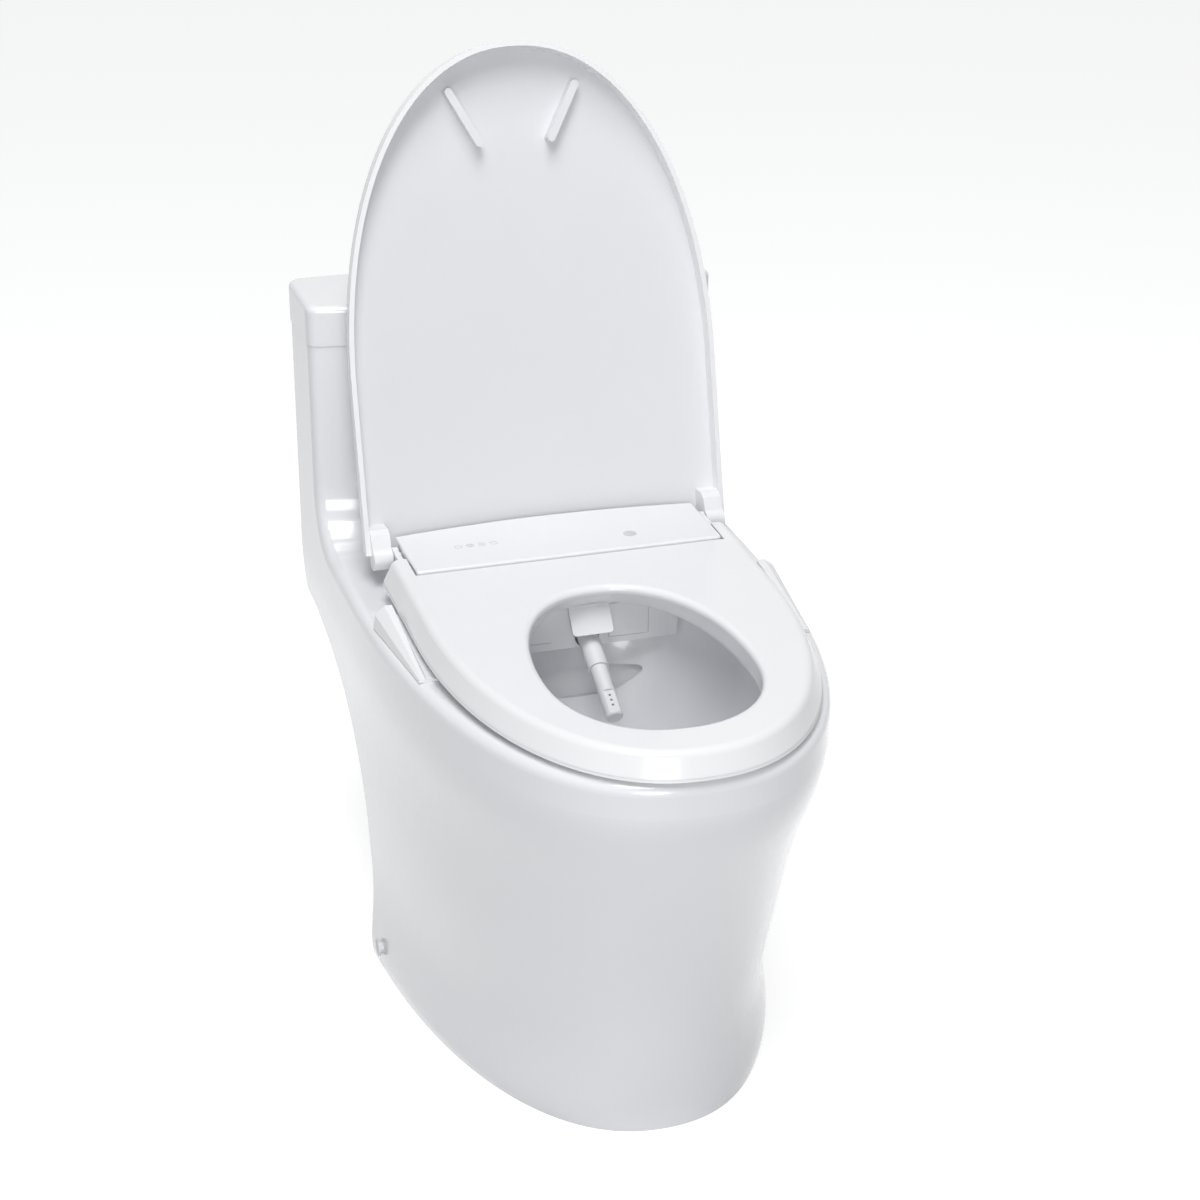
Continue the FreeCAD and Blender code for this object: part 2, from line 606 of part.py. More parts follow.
def wand_housing():
    """The guide tube that holds the wand inside the unit."""
    tube = cyl(12.9, V(0, 112, 0), V(0, -1, 0), 50).cut(cyl(SLEEVE_R + FIT, V(0, 120, 0), V(0, -1, 0), 130))
    inset = CASE_WALL + INNER_GAP
    front, back = PANEL_FRONT + PANEL_LIP + inset, UNIT_REAR - inset
    return wand_frame(tube).common(box(-40, 40, front, back, CASE_Z, SEAT_TOP - inset))


def wand_sleeve():
    """The outer stage of the telescoping wand."""
    tube = cyl(SLEEVE_R, V(0, 105 - SLEEVE_OUT, 0), V(0, -1, 0), 105)
    collar = cyl(SLEEVE_R, V(0, -SLEEVE_OUT + 3, 0), V(0, -1, 0), 3)
    tube = tube.fuse(collar).cut(cyl(WAND_R + FIT, V(0, 120, 0), V(0, -1, 0), 240))
    return wand_frame(tube.removeSplitter())


def wand_tube():
    """The inner stage that carries the spray tip."""
    length = 112.0
    rod = cyl(WAND_R, V(0, length - WAND_OUT, 0), V(0, -1, 0), length - 34)
    return wand_frame(rod.cut(cyl(5, V(0, length - WAND_OUT + 1, 0), V(0, -1, 0), length - 40)))


def wand_tip():
    """The spray tip: a flat facet on top with three jets."""
    start = -(WAND_OUT - 34)
    rod = cyl(WAND_R, V(0, start, 0), V(0, -1, 0), 34)
    rod = rod.makeFillet(2.5, edges_where(rod, lambda p, e: p.y < start - 33 and e.Length > 40))
    rod = rod.cut(box(-12, 12, start - 31, start - 4, 6.6, 12))
    for step in (10, 16, 22):
        rod = rod.cut(cyl(1.4, V(0, start - step, 3), Z_AXIS, 8))
    return wand_frame(rod)


def shutter():
    """The flap over the wand's exit, held up by the wand while it is out."""
    flap = box(-21, 21, -1.2, 1.2, -29, 1.2)
    flap = flap.makeFillet(4.0, edges_where(flap, lambda p, e: p.z < -28 and abs(p.x) > 20 and e.Length < 3))
    flap = flap.fuse(cyl(2.2, V(-21, 0, 1.2), X_AXIS, 42)).cut(cyl(1.2, V(-30, 0, 1.2), X_AXIS, 60))
    flap.rotate(V(0, 0, 1.2), X_AXIS, -SHUTTER_REST)
    flap.translate(V(0, NOSE_FRONT - 3.4, SHUTTER_Z - 1.2))
    return flap


def dryer_door():
    """The door over the warm-air outlet, with its hinge barrel along the top."""
    barrel = V(DOOR_X0, NOSE_FRONT + 1.0, DOOR_Z1)
    flap = box(DOOR_X0, DOOR_X1, NOSE_FRONT - 0.2, NOSE_FRONT + 2.2, DOOR_Z0, DOOR_Z1)
    return flap.fuse(cyl(1.2, barrel, X_AXIS, DOOR_X1 - DOOR_X0)).removeSplitter()


def water_heater():
    """The instant water heater in the unit's left end."""
    tank = box(-152, -100, HINGE_Y - 64, HINGE_Y - 10, CASE_Z + 3.2, SEAT_TOP - 9)
    return tank.makeFillet(4, edges_where(tank, lambda p, e: abs(e.tangentAt(e.FirstParameter).z) > 0.9))


def control_board():
    """The circuit board under the top panel."""
    board = box(26, 90, HINGE_Y - 66, HINGE_Y - 10, SEAT_TOP - 12, SEAT_TOP - 10.4)
    chips = [box(34, 48, HINGE_Y - 58, HINGE_Y - 44, SEAT_TOP - 10.4, SEAT_TOP - 8.6),
             box(58, 76, HINGE_Y - 40, HINGE_Y - 28, SEAT_TOP - 10.4, SEAT_TOP - 7.4)]
    return fuse_all([board] + chips)


def dryer_fan():
    """The blower behind the warm-air door."""
    scroll = cyl(17, V(112, HINGE_Y - 32, CASE_Z + 3.2), Z_AXIS, 22)
    duct = box(96, 112, HINGE_Y - 71, HINGE_Y - 32, CASE_Z + 3.2, CASE_Z + 20)
    return scroll.fuse(duct).removeSplitter()


def water_inlet():
    """The threaded water inlet at the back of the unit."""
    at = V(-130, UNIT_REAR, FITTING_Z)
    body = cyl(INLET_R - 0.4, at - V(0, 5, 0), Y_AXIS, 5).fuse(cyl(INLET_R, at, Y_AXIS, 12))
    return body.cut(cyl(3.5, at - V(0, 6, 0), Y_AXIS, 30))


def power_gland():
    """The strain relief where the power lead would enter."""
    at = V(130, UNIT_REAR - 4, FITTING_Z)
    ring = cyl(5, at, Y_AXIS, 10)
    return ring.cut(cyl(3.0, at - V(0, 1, 0), Y_AXIS, 20))


def hinge_pin():
    """The hinge pin and soft-close damper on one side."""
    pin = cyl(PIN_R, V(150, HINGE_Y, HINGE_Z), X_AXIS, PIN_END - 150)
    damper = cyl(8.5, V(112, HINGE_Y, HINGE_Z), X_AXIS, 38)
    return pin.fuse(damper)


# ---------------------------------------------------------------- seat

KNUCKLE_IN = 161.0
KNUCKLE_MID = 168.0
KNUCKLE_OUT = LID_HALF - LID_RIM_WALL
LIP_R = 6.0             # rounded edge of the seat's opening


def tilted(shape):
    """Slope a seat part down to the front about the hinge."""
    shape.rotate(V(0, HINGE_Y, HINGE_Z), X_AXIS, SEAT_TILT)
    return shape


def seat_blank(inset, z0, z1):
    """The seat's form between two levels, its sides sloping in upwards, with the notch for the top panel."""
    wires = []
    for z in (z0, z1):
        lean = inset + SEAT_LEAN * (z - SEAT_BOTTOM) / (SEAT_TOP - SEAT_BOTTOM)
        rear = HINGE_Y - 38.5 - inset
        wires.append(horseshoe(z, SEAT_HALF - lean, SEAT_FRONT + lean, HINGE_Y - 175, rear, 2.2))
    blank = Part.makeLoft(wires, True, True)
    notch = box(-PANEL_HALF - 2 - inset, PANEL_HALF + 2 + inset, PANEL_FRONT - 2 - inset, 100, z0 - 1, z1 + 1)
    return blank.cut(notch)


def seat_hole(grow, z0, z1):
    """The opening through the seat, its rear wall undercut so that it hides below the top."""
    wires = []
    for z in (z0, z1):
        back = OPEN_REAR + grow + OPEN_UNDERCUT * (SEAT_TOP - z) / (SEAT_TOP - SEAT_BOTTOM)
        wires.append(egg(z, OPEN_HALF + grow, OPEN_FRONT - grow, back, 2.2, OPEN_MID))
    return Part.makeLoft(wires, True, True)


def seat_hinge_arms():
    """The pair of arms that reach back from the seat to the hinge pins."""
    ear = cyl(10, V(KNUCKLE_IN + 0.7, HINGE_Y, HINGE_Z), X_AXIS, KNUCKLE_MID - KNUCKLE_IN - 1.2)
    web = box(KNUCKLE_IN + 0.7, KNUCKLE_MID - 0.5, HINGE_Y - 38.5, HINGE_Y, SEAT_BOTTOM + 3, HINGE_Z + 9)
    arm = ear.fuse(web).cut(cyl(PIN_R + FIT, V(KNUCKLE_IN, HINGE_Y, HINGE_Z), X_AXIS, 20))
    return tilted(both_sides(arm.removeSplitter()))


def seat_top():
    """The seat's upper shell."""
    z0, z1 = SEAT_BOTTOM + 3, SEAT_TOP
    whole = seat_blank(0, z0, z1)
    rim = edges_where(whole, lambda p, e: p.z > z1 - 0.1 and (e.Length > 600 or abs(p.x) > 173))
    whole = whole.makeFillet(9.0, rim)
    hollow = seat_blank(4, z0 - 1, z1 - 4).cut(seat_hole(5, z0 - 2, z1 + 2))
    whole = whole.cut(seat_hole(0, z0 - 1, z1 + 1))
    lip = edges_where(whole, lambda p, e: p.z > z1 - 0.1 and e.Length > 600 and abs(p.x) < 100)
    whole = whole.makeFillet(LIP_R, lip)
    return tilted(whole.cut(hollow))


def seat_base():
    """The plate that closes the seat from below."""
    plate = seat_blank(0.5, SEAT_BOTTOM, SEAT_BOTTOM + 3).cut(seat_hole(0.5, SEAT_BOTTOM - 1, SEAT_BOTTOM + 4))
    return tilted(plate)


def seat_heater():
    """The heating sheet bonded under the seat's top."""
    z1 = SEAT_TOP - 4
    sheet = seat_blank(24, z1 - 1.0, z1).cut(seat_hole(14, z1 - 2, z1 + 1))
    return tilted(sheet.common(box(-200, 200, SEAT_FRONT, HINGE_Y - 100, 0, 900)))


def seat_bumpers():
    """Four rubber pads under the seat."""
    above_rim = box(-300, 300, -600, 100, RIM_Z, RIM_Z + 100)
    pads = []
    for x, y in ((152, HINGE_Y - 240), (110, HINGE_Y - 415)):
        for side in (-1, 1):
            pad = box(side * x - 6, side * x + 6, y - 14, y + 14, SEAT_BOTTOM - 20, SEAT_BOTTOM)
            pads.append(tilted(pad).common(above_rim))
    return Part.makeCompound(pads)


# ---------------------------------------------------------------- lid

def opened(shape):
    """Swing a lid part from the closed pose, in which it is drawn, to the open rest pose."""
    shape.rotate(V(0, HINGE_Y, HINGE_Z), X_AXIS, -LID_OPEN)
    return shape


def lid_form(inset, drop, z0):
    """The crowned lid outline, inset and lowered."""
    wire = horseshoe(z0, LID_HALF - inset, LID_FRONT + inset, HINGE_Y - 170, HINGE_Y - 3, 2.15)
    top = LID_RIM + LID_SIDE + LID_CROWN - drop
    crown_r = LID_HALF ** 2 / (2 * LID_CROWN)
    blank = prism(wire, 60)
    return blank.common(cyl(crown_r, V(0, LID_FRONT - 50, top - crown_r), Y_AXIS, 700))


def lid_tray():
    """The lid in one: a crowned plate with a raised rim, open at the hinge end."""
    outer = lid_form(0, 0, LID_RIM)
    top = edges_where(outer, lambda p, e: p.z > LID_RIM + LID_SIDE - 1 and p.y < HINGE_Y - 10)
    outer = outer.makeFillet(8.0, top)
    ledge = lid_form(LID_RIM_WALL, LID_WALL, LID_RIM - 1)
    return outer.cut(ledge)


def lid_parts():
    """The moulded cover plate and the rim frame that it is welded to."""
    tray = lid_tray()
    inside = lid_form(LID_RIM_WALL, 0, LID_RIM - 1)
    return opened(tray.common(inside)), opened(tray.cut(inside))


def lid_hinge_blocks():
    """The block at each rear corner that carries the lid on its pin."""
    x0, x1 = KNUCKLE_MID + 0.5, KNUCKLE_OUT
    side = [
        V(x0, HINGE_Y, HINGE_Z - 9),
        V(x0, HINGE_Y - 24, HINGE_Z - 2),
        V(x0, HINGE_Y - 29, HINGE_Z + 4),
        V(x0, HINGE_Y - 46, 600),
        V(x0, HINGE_Y, 600),
    ]
    block = Part.Face(Part.makePolygon(side + side[:1])).extrude(V(x1 - x0, 0, 0))
    block = block.fuse(cyl(12, V(x0, HINGE_Y, HINGE_Z), X_AXIS, x1 - x0))
    under_cover = lid_form(0, LID_WALL, HINGE_Z - 30).fuse(box(x0, x1, HINGE_Y - 3, HINGE_Y + 30, 440, 483))
    block = block.common(under_cover)
    block = block.cut(cyl(PIN_R + FIT, V(x0 - 1, HINGE_Y, HINGE_Z), X_AXIS, PIN_END + 2 - x0))
    return opened(both_sides(block.removeSplitter()))


def lid_bumpers():
    """The pair of slanted rubber strips inside the lid."""
    z = LID_RIM + LID_SIDE
    strips = []
    for side in (-1, 1):
        a = V(side * 66, HINGE_Y - 459, z - LID_PAD)
        b = V(side * 38, HINGE_Y - 407, z - LID_PAD)
        run = b - a
        strip = box(0, run.Length, -4, 4, 0, 30)
        strip = fuse_all([strip, cyl(4, V(0, 0, 0), Z_AXIS, 30), cyl(4, V(run.Length, 0, 0), Z_AXIS, 30)])
        strip.rotate(V(0, 0, 0), Z_AXIS, FreeCAD.Vector(1, 0, 0).getAngle(run) * 180 / pi)
        strip.translate(a)
        strips.append(strip.common(lid_form(LID_RIM_WALL, LID_WALL, LID_RIM - 1)))
    return opened(Part.makeCompound(strips))


def main():
    """Build every piece and write it out."""
    os.makedirs("parts", exist_ok=True)
    tank, rim, basin, sump, trapway, skirt = china_sections()
    cover, frame = lid_parts()
    pieces = {
        "china_tank": tank,
        "china_rim": rim,
        "china_bowl": basin,
        "china_sump": sump,
        "china_trapway": trapway,
        "china_skirt": skirt,
        "tank_lid": tank_lid(),
        "button_bezel": button_bezel(),
        "full_flush_button": flush_button(1),
        "light_flush_button": flush_button(-1),
        "flush_valve_tower": flush_valve(),
        "flush_canister": flush_canister(),
        "canister_seal": canister_seal(),
        "valve_lock_nut": valve_nut(),
        "fill_valve": fill_valve(),
        "fill_valve_nut": fill_nut(),
        "float_cup": float_cup(),
        "outlet_connector": outlet_connector(),
        "outlet_seal": outlet_seal(),
        "floor_brackets": both_sides(side_bracket()),
        "side_screws": both_sides(side_screw()),
        "screw_caps": both_sides(screw_cap()),
        "mounting_plate": mounting_plate(),
        "plate_bolts": both_sides(plate_bolt()),
        "unit_case": unit_case(),
        "top_panel": top_panel(),
        "sensor_window": sensor_window(),
        "wing_right": wing(),
        "wing_left": mirrored(wing()),
        "wand_housing": wand_housing(),
        "wand_sleeve": wand_sleeve(),
        "wand_tube": wand_tube(),
        "wand_tip": wand_tip(),
        "nozzle_shutter": shutter(),
        "dryer_door": dryer_door(),
        "water_heater": water_heater(),
        "control_board": control_board(),
        "dryer_fan": dryer_fan(),
        "water_inlet": water_inlet(),
        "power_gland": power_gland(),
        "hinge_pins": both_sides(hinge_pin()),
        "seat_top": seat_top(),
        "seat_base": seat_base(),
        "seat_heater": seat_heater(),
        "seat_bumpers": seat_bumpers(),
        "seat_hinge_arms": seat_hinge_arms(),
        "lid_cover": cover,
        "lid_rim": frame,
        "lid_hinge_blocks": lid_hinge_blocks(),
        "lid_bumpers": lid_bumpers(),
    }
    for name, shape in pieces.items():
        shape.exportStep("parts/" + name + ".step")
        print(name, shape.isValid(), len(shape.Solids), len(shape.Faces), round(shape.Volume / 1000.0, 1))


main()
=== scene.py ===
"""Looks of a one-piece toilet with a heated wash seat: finishes, fine detail, light and camera.

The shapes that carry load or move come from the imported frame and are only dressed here.
All lengths are in metres in the frame's own axes: +Z up, -Y towards the user, +X to the
right of someone who faces the toilet, with the origin at the waste outlet on the floor.
"""
import json
import logging
from dataclasses import dataclass
from enum import Enum
from math import cos, pi, radians, sin

import bmesh
import bpy
from mathutils import Matrix, Vector


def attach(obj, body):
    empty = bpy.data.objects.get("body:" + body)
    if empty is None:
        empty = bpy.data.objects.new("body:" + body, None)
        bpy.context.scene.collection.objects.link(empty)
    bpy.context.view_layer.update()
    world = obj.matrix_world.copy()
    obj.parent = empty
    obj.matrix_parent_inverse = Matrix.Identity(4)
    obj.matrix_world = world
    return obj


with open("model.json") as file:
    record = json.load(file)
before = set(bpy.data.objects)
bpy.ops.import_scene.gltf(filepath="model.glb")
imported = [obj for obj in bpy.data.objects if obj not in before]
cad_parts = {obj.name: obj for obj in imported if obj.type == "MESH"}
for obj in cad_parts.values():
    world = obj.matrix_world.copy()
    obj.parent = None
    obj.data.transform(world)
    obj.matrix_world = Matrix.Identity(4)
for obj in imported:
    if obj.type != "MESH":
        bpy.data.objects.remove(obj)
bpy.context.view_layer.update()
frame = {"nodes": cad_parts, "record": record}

LOG = logging.getLogger("toilet")
MM = 0.001

Colour = tuple[float, float, float]
Flat = tuple[float, float]


# ---------------------------------------------------------------- finishes


class NodeSheet:
    """A material's node tree, with short calls for the nodes that the finishes share."""

    MIDDLE = (0.3, 0.7)

    def __init__(self, name: str) -> None:
        """Start an empty tree with a surface shader joined to its output.

        Args:
            name: the material's name.
        """
        self.material = bpy.data.materials.new(name)
        self.material.use_nodes = True
        self.tree = self.material.node_tree
        self.tree.nodes.clear()
        self.output = self.tree.nodes.new("ShaderNodeOutputMaterial")
        self.shader = self.tree.nodes.new("ShaderNodeBsdfPrincipled")
        self.join(self.shader.outputs["BSDF"], self.output.inputs["Surface"])
        self.place = self.tree.nodes.new("ShaderNodeTexCoord").outputs["Object"]

    def join(self, source: bpy.types.NodeSocket, target: bpy.types.NodeSocket) -> None:
        """Link two sockets."""
        self.tree.links.new(source, target)

    def set(self, **values: float | Colour) -> None:
        """Set the shader's own sockets.

        Args:
            values: socket names with underscores for spaces, and what they hold.
        """
        for name, value in values.items():
            socket = self.shader.inputs[name.replace("_", " ")]
            socket.default_value = (*value, 1.0) if isinstance(value, tuple) else value

    def stretched(self, scale: tuple[float, float, float]) -> bpy.types.NodeSocket:
        """The object's own coordinates, stretched by axis.

        Args:
            scale: the factor along X, Y and Z.

        Returns:
            The stretched coordinates.
        """
        mapping = self.tree.nodes.new("ShaderNodeMapping")
        mapping.inputs["Scale"].default_value = scale
        self.join(self.place, mapping.inputs["Vector"])
        return mapping.outputs["Vector"]

    def noise(self, scale: float, detail: float = 2.0,
              at: bpy.types.NodeSocket | None = None) -> bpy.types.NodeSocket:
        """A noise pattern over the object.

        Args:
            scale: how many features there are in a metre.
            detail: how much finer noise is laid over it.
            at: coordinates to use instead of the object's own.

        Returns:
            The pattern, from 0 to 1.
        """
        pattern = self.tree.nodes.new("ShaderNodeTexNoise")
        pattern.inputs["Scale"].default_value = scale
        pattern.inputs["Detail"].default_value = detail
        self.join(at or self.place, pattern.inputs["Vector"])
        return pattern.outputs["Fac"]

    def spread(self, pattern: bpy.types.NodeSocket, low: float, high: float) -> bpy.types.NodeSocket:
        """A pattern's middle range spread between two numbers.

        Args:
            pattern: a pattern from 0 to 1.
            low: the result where the pattern is dark.
            high: the result where the pattern is bright.

        Returns:
            The spread pattern.
        """
        ranged = self.tree.nodes.new("ShaderNodeMapRange")
        ranged.inputs["From Min"].default_value = self.MIDDLE[0]
        ranged.inputs["From Max"].default_value = self.MIDDLE[1]
        ranged.inputs["To Min"].default_value = low
        ranged.inputs["To Max"].default_value = high
        self.join(pattern, ranged.inputs["Value"])
        return ranged.outputs["Result"]

    def blend(self, pattern: bpy.types.NodeSocket, dark: Colour, light: Colour) -> bpy.types.NodeSocket:
        """Two colours mixed by a pattern.

        Args:
            pattern: a pattern from 0 to 1.
            dark: the colour at 0.
            light: the colour at 1.

        Returns:
            The mixed colour.
        """
        mix = self.tree.nodes.new("ShaderNodeMix")
        mix.data_type = "RGBA"
        mix.inputs["A"].default_value = (*dark, 1.0)
        mix.inputs["B"].default_value = (*light, 1.0)
        self.join(pattern, mix.inputs["Factor"])
        return mix.outputs["Result"]

    def raise_surface(self, pattern: bpy.types.NodeSocket, height: float, strength: float = 1.0) -> None:
        """Let a pattern raise and lower the surface.

        Args:
            pattern: the pattern that gives the height.
            height: the full height in metres.
            strength: how much of it shows.
        """
        bump = self.tree.nodes.new("ShaderNodeBump")
        bump.inputs["Distance"].default_value = height
        bump.inputs["Strength"].default_value = strength
        self.join(pattern, bump.inputs["Height"])
        self.join(bump.outputs["Normal"], self.shader.inputs["Normal"])

    def tint(self, colour: bpy.types.NodeSocket) -> None:
        """Use a pattern as the surface's colour."""
        self.join(colour, self.shader.inputs["Base Color"])

    def polish(self, roughness: bpy.types.NodeSocket) -> None:
        """Use a pattern as the surface's roughness."""
        self.join(roughness, self.shader.inputs["Roughness"])


def shaded(colour: Colour, share: float) -> Colour:
    """A colour with a share of its light."""
    return tuple(share * part for part in colour)


@dataclass(frozen=True)
class GlazedChina:
    """Fired vitreous china under a clear glaze that pools and ripples slightly."""

    name: str = "glazed_china"
    thick: Colour = (0.835, 0.845, 0.87)
    thin: Colour = (0.86, 0.87, 0.89)
    clouds: float = 5.0
    wear: float = 60.0
    polished: float = 0.16
    dull: float = 0.22
    ripple: float = 14.0
    ripple_height: float = 0.25 * MM
    coat: float = 0.6

    def build(self) -> bpy.types.Material:
        """Make the material.

        Returns:
            The material.
        """
        sheet = NodeSheet(self.name)
        sheet.tint(sheet.blend(sheet.noise(self.clouds, 3.0), self.thick, self.thin))
        sheet.polish(sheet.spread(sheet.noise(self.wear), self.polished, self.dull))
        sheet.raise_surface(sheet.noise(self.ripple, 1.0), self.ripple_height, 0.6)
        sheet.set(IOR=1.5, Coat_Weight=self.coat, Coat_Roughness=0.08)
        return sheet.material


@dataclass(frozen=True)
class MouldedPlastic:
    """Injection-moulded plastic: from a polished face to a fine spark-eroded texture."""

    name: str
    colour: Colour
    roughness: float = 0.25
    grain: float = 900.0
    grain_height: float = 0.01 * MM
    coat: float = 0.0
    clouds: float = 12.0
    wear: float = 45.0

    def build(self) -> bpy.types.Material:
        """Make the material.

        Returns:
            The material.
        """
        sheet = NodeSheet(self.name)
        sheet.tint(sheet.blend(sheet.noise(self.clouds, 3.0), shaded(self.colour, 0.97), self.colour))
        sheet.polish(sheet.spread(sheet.noise(self.wear), self.roughness * 0.9, self.roughness * 1.15))
        sheet.raise_surface(sheet.noise(self.grain, 1.0), self.grain_height, 0.5)
        sheet.set(IOR=1.49, Coat_Weight=self.coat, Coat_Roughness=0.1)
        return sheet.material


@dataclass(frozen=True)
class SoftRubber:
    """Silicone or rubber with a dull bloom and specks."""

    name: str
    colour: Colour
    bloom: float = 160.0
    wear: float = 90.0
    specks: float = 1400.0
    speck_height: float = 0.03 * MM

    def build(self) -> bpy.types.Material:
        """Make the material.

        Returns:
            The material.
        """
        sheet = NodeSheet(self.name)
        sheet.tint(sheet.blend(sheet.noise(self.bloom, 4.0), shaded(self.colour, 0.93), self.colour))
        sheet.polish(sheet.spread(sheet.noise(self.wear), 0.55, 0.7))
        sheet.raise_surface(sheet.noise(self.specks, 1.0), self.speck_height, 0.5)
        sheet.set(IOR=1.45)
        return sheet.material


@dataclass(frozen=True)
class BareMetal:
    """Plated, turned or brushed metal, with tool marks along chosen axes."""

    name: str
    colour: Colour
    roughness: float
    stretch: tuple[float, float, float] = (1.0, 1.0, 1.0)
    marks: float = 300.0
    mark_height: float = 0.01 * MM

    def build(self) -> bpy.types.Material:
        """Make the material.

        Returns:
            The material.
        """
        sheet = NodeSheet(self.name)
        lines = sheet.noise(self.marks, 3.0, sheet.stretched(self.stretch))
        sheet.tint(sheet.blend(lines, shaded(self.colour, 0.9), self.colour))
        sheet.polish(sheet.spread(lines, self.roughness * 0.8, self.roughness * 1.3))
        sheet.raise_surface(lines, self.mark_height, 0.4)
        sheet.set(Metallic=1.0)
        return sheet.material


@dataclass(frozen=True)
class TrackedSheet:
    """A sheet or board with printed tracks in one colour on another."""

    name: str
    ground: Colour
    track: Colour
    per_metre: float
    metallic: float
    roughness: float
    track_height: float = 0.05 * MM

    def build(self) -> bpy.types.Material:
        """Make the material.

        Returns:
            The material.
        """
        sheet = NodeSheet(self.name)
        bands = sheet.tree.nodes.new("ShaderNodeTexWave")
        bands.inputs["Scale"].default_value = self.per_metre
        bands.inputs["Distortion"].default_value = 2.0
        bands.inputs["Detail Scale"].default_value = 0.4
        sheet.join(sheet.place, bands.inputs["Vector"])
        tracks = bands.outputs["Fac"]
        sheet.tint(sheet.blend(sheet.spread(tracks, 0.0, 1.0), self.ground, self.track))
        sheet.raise_surface(tracks, self.track_height, 0.5)
        sheet.set(Metallic=self.metallic, Roughness=self.roughness)
        return sheet.material


@dataclass(frozen=True)
class TintedWindow:
    """The pale window over the unit's sensor."""

    name: str = "tinted_window"
    dark: Colour = (0.60, 0.61, 0.63)
    light: Colour = (0.64, 0.65, 0.67)
    haze: float = 400.0

    def build(self) -> bpy.types.Material:
        """Make the material.

        Returns:
            The material.
        """
        sheet = NodeSheet(self.name)
        haze = sheet.noise(self.haze)
        sheet.tint(sheet.blend(haze, self.dark, self.light))
        sheet.polish(sheet.spread(haze, 0.08, 0.12))
        sheet.set(IOR=1.49, Coat_Weight=1.0, Coat_Roughness=0.03)
        return sheet.material


class Finish(Enum):
    """The finishes of the object, each with the record's slot that it shows."""

    CHINA = ("china", GlazedChina())
    GLOSS = ("white_gloss", MouldedPlastic("white_gloss_shell", (0.885, 0.89, 0.905), 0.2, coat=0.4))
    # The lid cover: the white gloss of its slot made darker and duller; the darker colour is painted shade
    # for the lid's inside.
    COVER = ("white_gloss", MouldedPlastic("lid_cover_painted_shade", (0.76, 0.765, 0.785), 0.32))
    SATIN = ("white_satin", MouldedPlastic("white_satin_moulding", (0.80, 0.805, 0.82), 0.4,
                                           grain=1200.0, grain_height=0.02 * MM))
    GREY_RUBBER = ("grey_rubber", SoftRubber("pale_grey_rubber", (0.80, 0.81, 0.83)))
    CHROME = ("chrome", BareMetal("polished_chrome", (0.82, 0.83, 0.85), 0.07))
    STEEL = ("steel", BareMetal("turned_steel", (0.60, 0.60, 0.61), 0.28, stretch=(8.0, 1.0, 1.0)))
    GREY_PLASTIC = ("grey_plastic", MouldedPlastic("grey_moulding", (0.45, 0.47, 0.50), 0.45))
    DARK_PLASTIC = ("dark_plastic", MouldedPlastic("dark_moulding", (0.10, 0.105, 0.115), 0.45))
    BOARD = ("board_green", TrackedSheet("circuit_board", (0.03, 0.16, 0.07), (0.05, 0.26, 0.12),
                                         per_metre=120.0, metallic=0.0, roughness=0.35))
    WINDOW = ("window", TintedWindow())
    BRASS = ("brass", BareMetal("machined_brass", (0.72, 0.55, 0.26), 0.22, stretch=(1.0, 9.0, 1.0)))
    PRINT = ("grey_plastic", MouldedPlastic("printed_grey", (0.40, 0.41, 0.43), 0.5, grain=1500.0))
    FOIL = ("foil", TrackedSheet("heating_foil", (0.72, 0.72, 0.74), (0.55, 0.36, 0.22),
                                 per_metre=22.0, metallic=0.9, roughness=0.3))

    @property
    def slot(self) -> str:
        """The record's material slot."""
        return self.value[0]

    def material(self) -> bpy.types.Material:
        """The finish's material, made once."""
        recipe = self.value[1]
        return bpy.data.materials.get(recipe.name) or recipe.build()


# The lid cover takes the darker copy of its white gloss, which is painted shade.
NODE_FINISH = {"lid_cover": Finish.COVER}
SPECIAL_FINISHES = (Finish.PRINT, Finish.COVER)


def dress_nodes() -> None:
    """Give every node of the frame the finish of its slot, or, for the lid cover, a darker copy of its
    white gloss that is painted shade.
    """
    by_slot = {finish.slot: finish for finish in Finish if finish not in SPECIAL_FINISHES}
    for part in frame["record"]["subparts"]:
        node = frame["nodes"][part["node"]]
        finish = NODE_FINISH.get(part["node"]) or by_slot[part["material_slot"]]
        node.data.materials.clear()
        node.data.materials.append(finish.material())
        LOG.info("node %s is dressed in %s", part["node"], finish.slot)


# ---------------------------------------------------------------- fine pieces


